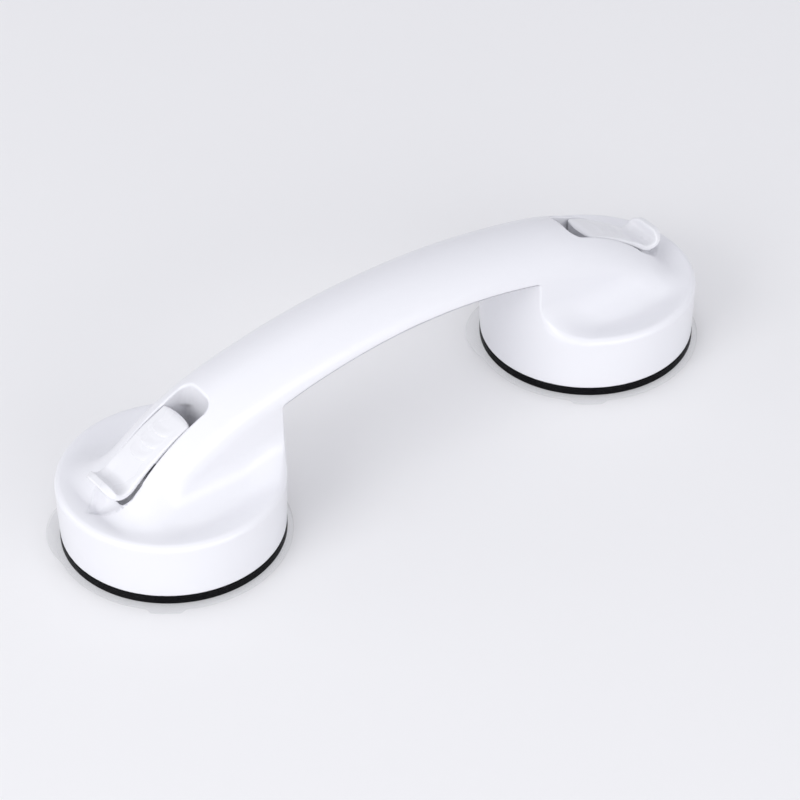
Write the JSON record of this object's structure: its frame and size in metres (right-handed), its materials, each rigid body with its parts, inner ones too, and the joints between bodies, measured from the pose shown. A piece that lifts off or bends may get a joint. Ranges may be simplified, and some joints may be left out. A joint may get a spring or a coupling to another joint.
{
  "type": "suction grab bar",
  "caption": "White arched grab bar between two round suction cups, with flip levers in slots on top and clear suction discs below.",
  "frame": {"origin": "midway between the two suction cups, on the plane of the discs' flat undersides", "axes": "+X along the bar, +Z away from the wall or floor that the cups stick to, +Y across the grip"},
  "size_m": [0.297, 0.092, 0.0734],
  "materials": {
    "shell_white": "gloss white ABS",
    "cover_white": "gloss white ABS",
    "lever_white": "gloss white ABS",
    "base_white": "moulded ABS",
    "gasket_black": "smooth black rubber",
    "disc_clear": "clear soft vinyl",
    "stud_nylon": "natural nylon",
    "steel": "zinc-plated steel"
  },
  "bodies": {
    "housing": {"handle_shell": "shell_white", "grip_cover": "cover_white", "grip_cover_screws": "steel", "left_wear_plate": "steel", "left_return_spring": "steel", "left_base_plate": "base_white", "left_base_screws": "steel", "left_gasket_ring": "gasket_black", "left_suction_disc": "disc_clear", "right_wear_plate": "steel", "right_return_spring": "steel", "right_base_plate": "base_white", "right_base_screws": "steel", "right_gasket_ring": "gasket_black", "right_suction_disc": "disc_clear"},
    "left_stud": {"left_pull_stud": "stud_nylon"},
    "left_lever_body": {"left_lever": "lever_white", "left_lever_pin": "steel"},
    "right_stud": {"right_pull_stud": "stud_nylon"},
    "right_lever_body": {"right_lever": "lever_white", "right_lever_pin": "steel"}
  },
  "joints": [
    {"name": "left_stud_slide", "type": "slide", "parent": "housing", "child": "left_stud", "axis": [0, 0, 1], "range_m": [-0.0025, 0], "deforming": ["left_return_spring", "left_suction_disc"]},
    {"name": "left_lever_hinge", "type": "hinge", "parent": "left_stud", "child": "left_lever_body", "pos_m": [-0.1025, 0, 0.041], "axis": [0, 1, 0], "range_deg": [0, 90]},
    {"name": "right_stud_slide", "type": "slide", "parent": "housing", "child": "right_stud", "axis": [0, 0, 1], "range_m": [-0.0025, 0], "deforming": ["right_return_spring", "right_suction_disc"]},
    {"name": "right_lever_hinge", "type": "hinge", "parent": "right_stud", "child": "right_lever_body", "pos_m": [0.1025, 0, 0.041], "axis": [0, -1, 0], "range_deg": [0, 90]}
  ],
  "couplings": [
    {"joint": "left_stud_slide", "follows": "left_lever_hinge", "m_per_rad": -0.0015915},
    {"joint": "right_stud_slide", "follows": "right_lever_hinge", "m_per_rad": -0.0015915}
  ]
}
